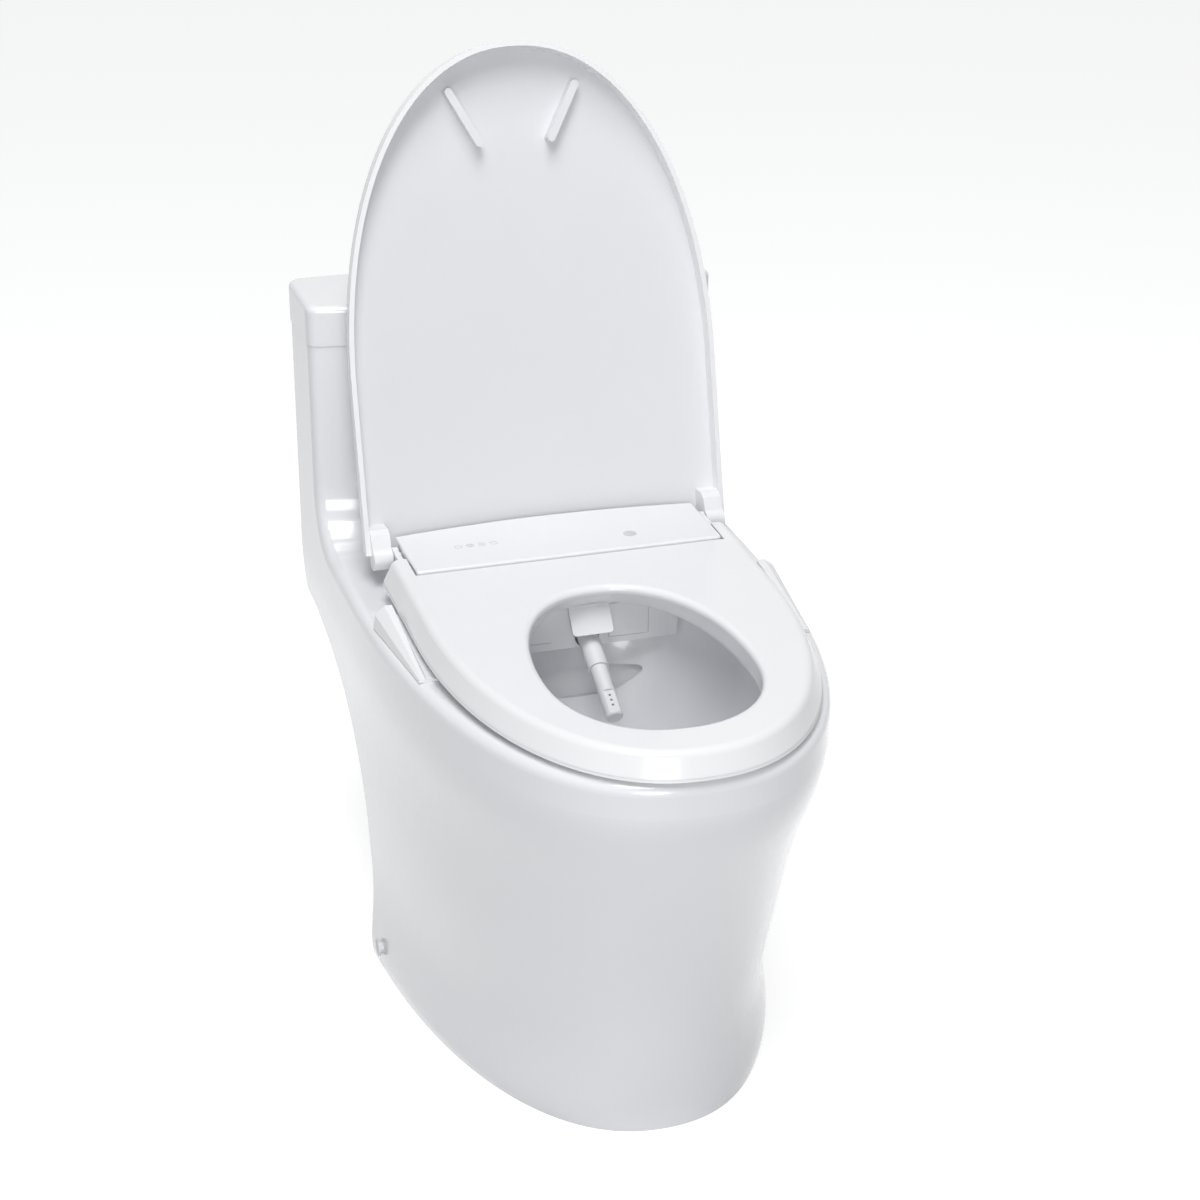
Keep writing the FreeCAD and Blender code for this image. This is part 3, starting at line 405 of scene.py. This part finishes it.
class Piece:
    """A fine piece under construction, which ends as one object that rides on a body."""

    FLAT_ANGLE = 0.02

    def __init__(self, name: str, finish: Finish, body: str) -> None:
        """Start an empty piece.

        Args:
            name: the object's name.
            finish: what it is made of.
            body: the body that it moves with.
        """
        self.name = name
        self.finish = finish
        self.body = body
        self.form = bmesh.new()

    def ribbon(self, path: list[Flat], width: float, z: float, height: float, closed: bool = False) -> None:
        """Add a flat stroke along a level path.

        Args:
            path: the stroke's middle line in plan.
            width: how wide the stroke is.
            z: the level of its underside.
            height: how far it stands up.
            closed: whether it runs back into its start.
        """
        count = len(path)
        pairs = []
        for i, (x, y) in enumerate(path):
            before = path[(i - 1) % count] if closed or i else path[i]
            after = path[(i + 1) % count] if closed or i < count - 1 else path[i]
            along = Vector((after[0] - before[0], after[1] - before[1], 0.0)).normalized()
            side = Vector((-along.y, along.x, 0.0)) * (0.5 * width)
            middle = Vector((x, y, z))
            pairs.append((self.form.verts.new(middle + side), self.form.verts.new(middle - side)))
        faces = []
        for i in range(count if closed else count - 1):
            (a, b), (c, d) = pairs[i], pairs[(i + 1) % count]
            faces.append(self.form.faces.new((a, b, d, c)))
        grown = bmesh.ops.extrude_face_region(self.form, geom=faces)
        tops = [item for item in grown["geom"] if isinstance(item, bmesh.types.BMVert)]
        bmesh.ops.translate(self.form, verts=tops, vec=(0.0, 0.0, height))

    def hull(self, points: list[Vector], rounding: float = 0.0) -> None:
        """Add the closed form that spans some points.

        Args:
            points: the corners.
            rounding: the radius of its edges.
        """
        corners = [self.form.verts.new(point) for point in points]
        made = bmesh.ops.convex_hull(self.form, input=corners)
        spare = [item for item in made["geom_interior"] if isinstance(item, bmesh.types.BMVert)]
        bmesh.ops.delete(self.form, geom=spare, context="VERTS")
        bmesh.ops.dissolve_limit(self.form, angle_limit=self.FLAT_ANGLE,
                                 verts=self.form.verts[:], edges=self.form.edges[:])
        if rounding:
            bmesh.ops.bevel(self.form, geom=self.form.edges[:], offset=rounding, offset_type="OFFSET",
                            segments=3, profile=0.5, affect="EDGES", clamp_overlap=True, material=-1)

    def build(self) -> bpy.types.Object:
        """Close the form and make the object.

        Returns:
            The object.
        """
        bmesh.ops.recalc_face_normals(self.form, faces=self.form.faces[:])
        mesh = bpy.data.meshes.new(self.name)
        self.form.to_mesh(mesh)
        self.form.free()
        piece = bpy.data.objects.new(self.name, mesh)
        bpy.context.scene.collection.objects.link(piece)
        mesh.materials.append(self.finish.material())
        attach(piece, self.body)
        LOG.info("piece %s: %d faces", self.name, len(mesh.polygons))
        return piece


PRINT_HEIGHT = 0.08 * MM
RING_END = 352.5
RING_STEPS = 47


def arc(middle: Flat, radius: float, start: float, end: float, steps: int = 24) -> list[Flat]:
    """Points along an arc in plan.

    Args:
        middle: the arc's centre.
        radius: its radius.
        start: the angle of its first point, in degrees from +X.
        end: the angle of its last point.
        steps: how many stretches it has.

    Returns:
        The points in order.
    """
    points = []
    for i in range(steps + 1):
        angle = radians(start + (end - start) * i / steps)
        points.append((middle[0] + radius * cos(angle), middle[1] + radius * sin(angle)))
    return points


@dataclass(frozen=True)
class PanelMarks:
    """The plain signs printed on the top panel: power, warm seat, warm air and cleaning."""

    top: float = 0.479
    y: float = 0.027
    first_x: float = -0.105
    step: float = 0.0123
    size: float = 0.0036
    stroke: float = 0.6 * MM
    height: float = PRINT_HEIGHT
    sensor: Flat = (0.072, 0.010)
    sensor_radius: float = 0.0066

    def draw(self, piece: Piece, path: list[Flat], closed: bool = False) -> None:
        """Add one stroke of a sign."""
        piece.ribbon(path, self.stroke, self.top, self.height, closed)

    def power(self, piece: Piece, x: float) -> None:
        """A broken ring with a bar through the gap."""
        self.draw(piece, arc((x, self.y), self.size, 125, 415))
        self.draw(piece, [(x, self.y + 0.3 * self.size), (x, self.y + 1.25 * self.size)])

    def warm_seat(self, piece: Piece, x: float) -> None:
        """Two rings, one in the other: the warm seat in plan."""
        self.draw(piece, arc((x, self.y), self.size, 0, 345), True)
        self.draw(piece, arc((x, self.y), 0.55 * self.size, 0, 337.5, 15), True)

    def warm_air(self, piece: Piece, x: float) -> None:
        """Three short waves, one over the other.

        Args:
            piece: the piece that holds the signs.
            x: where the sign's middle is.
        """
        steps = 16
        for row in (-1, 0, 1):
            wave = []
            for i in range(steps + 1):
                along = self.size * (2 * i / steps - 1)
                lift = 0.22 * self.size * sin(2 * pi * i / steps)
                wave.append((x + along, self.y + 0.8 * self.size * row + lift))
            self.draw(piece, wave)

    def cleaning(self, piece: Piece, x: float) -> None:
        """Two arcs that chase each other.

        Args:
            piece: the piece that holds the signs.
            x: where the sign's middle is.
        """
        for start in (20, 200):
            sweep = arc((x, self.y), self.size, start, start + 130)
            self.draw(piece, sweep)
            tip = sweep[-1]
            barb = radians(start + 175)
            self.draw(piece, [tip, (tip[0] + 0.5 * self.size * cos(barb),
                                    tip[1] + 0.5 * self.size * sin(barb))])

    def build(self) -> None:
        """Print the signs and the ring round the sensor."""
        piece = Piece("panel_marks", Finish.PRINT, "toilet")
        for number, sign in enumerate((self.power, self.warm_seat, self.warm_air, self.cleaning)):
            sign(piece, self.first_x + number * self.step)
        ring = arc(self.sensor, self.sensor_radius, 0, RING_END, RING_STEPS)
        piece.ribbon(ring, self.stroke, self.top, self.height, True)
        piece.build()


@dataclass(frozen=True)
class ButtonMark:
    """The plain ring printed on one flush button: large for a full flush, small for a light one."""

    name: str
    body: str
    x: float
    radius: float
    y: float = 0.230
    top: float = 0.6954
    stroke: float = 0.7 * MM
    height: float = PRINT_HEIGHT

    def build(self) -> None:
        """Make the ring."""
        piece = Piece(self.name, Finish.PRINT, self.body)
        ring = arc((self.x, self.y), self.radius, 0, RING_END, RING_STEPS)
        piece.ribbon(ring, self.stroke, self.top, self.height, True)
        piece.build()


@dataclass(frozen=True)
class NoseCheeks:
    """The filler strips that close the unit's nose against the china on both sides."""

    front: float = -0.0748
    back: float = -0.0600
    inner: float = 0.0842
    levels: tuple[Flat, ...] = ((0.4002, 0.0942), (0.4225, 0.0962), (0.4345, 0.0975))
    rounding: float = 0.4 * MM

    def build(self) -> None:
        """Make both strips, each through its outer reach at three levels."""
        piece = Piece("nose_cheeks", Finish.SATIN, "toilet")
        for side in (-1, 1):
            points = []
            for z, outer in self.levels:
                points += [Vector((side * self.inner, self.front, z)),
                           Vector((side * outer, self.front, z)),
                           Vector((side * self.inner, self.back, z))]
            piece.hull(points, self.rounding)
        piece.build()


@dataclass(frozen=True)
class ScrewThread:
    """A screw thread's ridge round a shank, which fades out at both ends."""

    name: str
    finish: Finish
    start: tuple[float, float, float]
    axis: tuple[float, float, float]
    radius: float
    pitch: float
    turns: float
    depth: float
    foot: float = 0.42
    sunk: float = 0.1 * MM
    turn_steps: int = 36
    fade_steps: int = 12

    def rows(self, form: bmesh.types.BMesh) -> list[list[bmesh.types.BMVert]]:
        """The ridge's section, repeated along the helix.

        Args:
            form: the mesh that takes the corners.

        Returns:
            The corners of each section in order.
        """
        axis = Vector(self.axis)
        across = axis.orthogonal().normalized()
        over = axis.cross(across)
        base = self.radius - self.sunk
        section = ((0.0, -self.foot), (self.depth + self.sunk, 0.0), (0.0, self.foot))
        steps = int(self.turns * self.turn_steps)
        rows = []
        for i in range(steps + 1):
            angle = 2 * pi * i / self.turn_steps
            out = across * cos(angle) + over * sin(angle)
            fade = min(1.0, i / self.fade_steps, (steps - i) / self.fade_steps)
            row = []
            for height, offset in section:
                along = axis * (self.pitch * (i / self.turn_steps + offset))
                row.append(form.verts.new(Vector(self.start) + out * (base + height * fade) + along))
            rows.append(row)
        return rows

    def build(self) -> None:
        """Make the thread."""
        piece = Piece(self.name, self.finish, "toilet")
        rows = self.rows(piece.form)
        for one, two in zip(rows, rows[1:]):
            for j in range(3):
                k = (j + 1) % 3
                piece.form.faces.new((one[j], one[k], two[k], two[j]))
        piece.form.faces.new(rows[0])
        piece.form.faces.new(rows[-1])
        piece.build()


def build_pieces() -> None:
    """Make everything that the frame leaves to the looks."""
    PanelMarks().build()
    ButtonMark("full_flush_mark", "full_button", 0.019, 0.0042).build()
    ButtonMark("light_flush_mark", "light_button", -0.013, 0.0028).build()
    NoseCheeks().build()
    ScrewThread("inlet_thread", Finish.BRASS, (-0.130, 0.0705, 0.447), (0.0, 1.0, 0.0),
                radius=0.006, pitch=0.0014, turns=6.5, depth=0.4 * MM).build()
    ScrewThread("fill_valve_thread", Finish.GREY_PLASTIC, (-0.150, 0.240, 0.2915), (0.0, 0.0, 1.0),
                radius=0.0104, pitch=0.0018, turns=13.5, depth=0.6 * MM).build()


# ---------------------------------------------------------------- studio


@dataclass(frozen=True)
class PhotoCamera:
    """The viewpoint worked out from the photograph's perspective."""

    place: tuple[float, float, float] = (-0.6920, -2.3247, 1.5136)
    yaw: float = 17.41
    pitch: float = 24.31
    roll: float = 0.20
    focal_pixels: float = 2600.5
    picture_pixels: int = 1200
    sensor_mm: float = 36.0
    clip_start: float = 0.05
    clip_end: float = 100.0

    def build(self) -> bpy.types.Object:
        """Make the scene's camera.

        Returns:
            The camera.
        """
        data = bpy.data.cameras.new("photo_camera")
        data.sensor_width = self.sensor_mm
        data.lens = self.focal_pixels / self.picture_pixels * self.sensor_mm
        data.clip_start = self.clip_start
        data.clip_end = self.clip_end
        camera = bpy.data.objects.new("photo_camera", data)
        turn = Matrix.Rotation(radians(-self.yaw), 4, "Z")
        tip = Matrix.Rotation(radians(90.0 - self.pitch), 4, "X")
        lean = Matrix.Rotation(radians(self.roll), 4, "Z")
        camera.matrix_world = Matrix.Translation(self.place) @ turn @ tip @ lean
        bpy.context.scene.collection.objects.link(camera)
        bpy.context.scene.camera = camera
        return camera


@dataclass(frozen=True)
class SoftLamp:
    """A large studio lamp aimed at a point."""

    name: str
    place: tuple[float, float, float]
    aim: tuple[float, float, float]
    size: float
    watts: float

    def build(self) -> None:
        """Make the lamp."""
        data = bpy.data.lights.new(self.name, "AREA")
        data.shape = "DISK"
        data.size = self.size
        data.energy = self.watts
        lamp = bpy.data.objects.new(self.name, data)
        lamp.location = self.place
        direction = Vector(self.aim) - Vector(self.place)
        lamp.rotation_mode = "QUATERNION"
        lamp.rotation_quaternion = direction.to_track_quat("-Z", "Y")
        bpy.context.scene.collection.objects.link(lamp)


@dataclass(frozen=True)
class Studio:
    """A plain pale floor, soft lamps, an even white surround and the camera."""

    surround: float = 0.28
    surround_colour: Colour = (0.95, 0.965, 1.0)
    floor_glow: float = 0.72
    floor_tone: float = 0.62
    floor_size: float = 40.0
    lamps: tuple[SoftLamp, ...] = (
        SoftLamp("overhead_softbox", (-0.2, -0.6, 3.2), (0.0, -0.2, 0.4), 1.2, 29.0),
        SoftLamp("front_softbox", (-0.8, -3.3, 1.3), (0.0, -0.1, 0.4), 1.4, 31.0),
        SoftLamp("key_softbox", (-0.8, -1.5, 3.1), (0.0, -0.2, 0.4), 1.2, 27.0),
    )

    def build_world(self) -> None:
        """An even surround, white where it is seen and softer as light."""
        world = bpy.data.worlds.new("studio_surround")
        bpy.context.scene.world = world
        world.use_nodes = True
        tree = world.node_tree
        tree.nodes.clear()
        output = tree.nodes.new("ShaderNodeOutputWorld")
        light = tree.nodes.new("ShaderNodeBackground")
        seen = tree.nodes.new("ShaderNodeBackground")
        mix = tree.nodes.new("ShaderNodeMixShader")
        light.inputs["Color"].default_value = (*self.surround_colour, 1.0)
        light.inputs["Strength"].default_value = self.surround
        seen.inputs["Color"].default_value = (1.0, 1.0, 1.0, 1.0)
        seen.inputs["Strength"].default_value = 1.0
        tree.links.new(self.seen_rays(tree), mix.inputs["Fac"])
        tree.links.new(light.outputs["Background"], mix.inputs[1])
        tree.links.new(seen.outputs["Background"], mix.inputs[2])
        tree.links.new(mix.outputs["Shader"], output.inputs["Surface"])

    @staticmethod
    def seen_rays(tree: bpy.types.NodeTree) -> bpy.types.NodeSocket:
        """One for rays from the camera, mirrors and glass, and none for the light on the object.

        Args:
            tree: the tree that asks.

        Returns:
            The socket with the answer.
        """
        path = tree.nodes.new("ShaderNodeLightPath")
        either = path.outputs["Is Camera Ray"]
        for name in ("Is Glossy Ray", "Is Transmission Ray"):
            largest = tree.nodes.new("ShaderNodeMath")
            largest.operation = "MAXIMUM"
            tree.links.new(either, largest.inputs[0])
            tree.links.new(path.outputs[name], largest.inputs[1])
            either = largest.outputs[0]
        return either

    def build_floor(self) -> None:
        """A pale floor that lifts to white where it is seen and keeps the object's shadow."""
        mesh = bpy.data.meshes.new("studio_floor")
        form = bmesh.new()
        bmesh.ops.create_grid(form, x_segments=1, y_segments=1, size=self.floor_size / 2)
        form.to_mesh(mesh)
        form.free()
        floor = bpy.data.objects.new("studio_floor", mesh)
        bpy.context.scene.collection.objects.link(floor)
        material = bpy.data.materials.new("pale_floor")
        material.use_nodes = True
        tree = material.node_tree
        tree.nodes.clear()
        output = tree.nodes.new("ShaderNodeOutputMaterial")
        matt = tree.nodes.new("ShaderNodeBsdfDiffuse")
        matt.inputs["Color"].default_value = (self.floor_tone, self.floor_tone, self.floor_tone, 1.0)
        glow = tree.nodes.new("ShaderNodeEmission")
        glow.inputs["Strength"].default_value = self.floor_glow
        both = tree.nodes.new("ShaderNodeAddShader")
        mix = tree.nodes.new("ShaderNodeMixShader")
        tree.links.new(matt.outputs[0], both.inputs[0])
        tree.links.new(glow.outputs[0], both.inputs[1])
        tree.links.new(self.seen_rays(tree), mix.inputs["Fac"])
        tree.links.new(matt.outputs[0], mix.inputs[1])
        tree.links.new(both.outputs[0], mix.inputs[2])
        tree.links.new(mix.outputs[0], output.inputs["Surface"])
        floor.data.materials.append(material)

    def build(self) -> None:
        """Set up the whole studio."""
        bpy.context.scene.view_settings.view_transform = "Standard"
        self.build_world()
        self.build_floor()
        for lamp in self.lamps:
            lamp.build()
        PhotoCamera().build()


# ---------------------------------------------------------------- hand-over


def main() -> None:
    """Dress the frame, add the pieces and set up the studio."""
    logging.basicConfig(level=logging.INFO, format="%(name)s: %(message)s")
    dress_nodes()
    build_pieces()
    Studio().build()


if __name__ == "__main__":
    main()
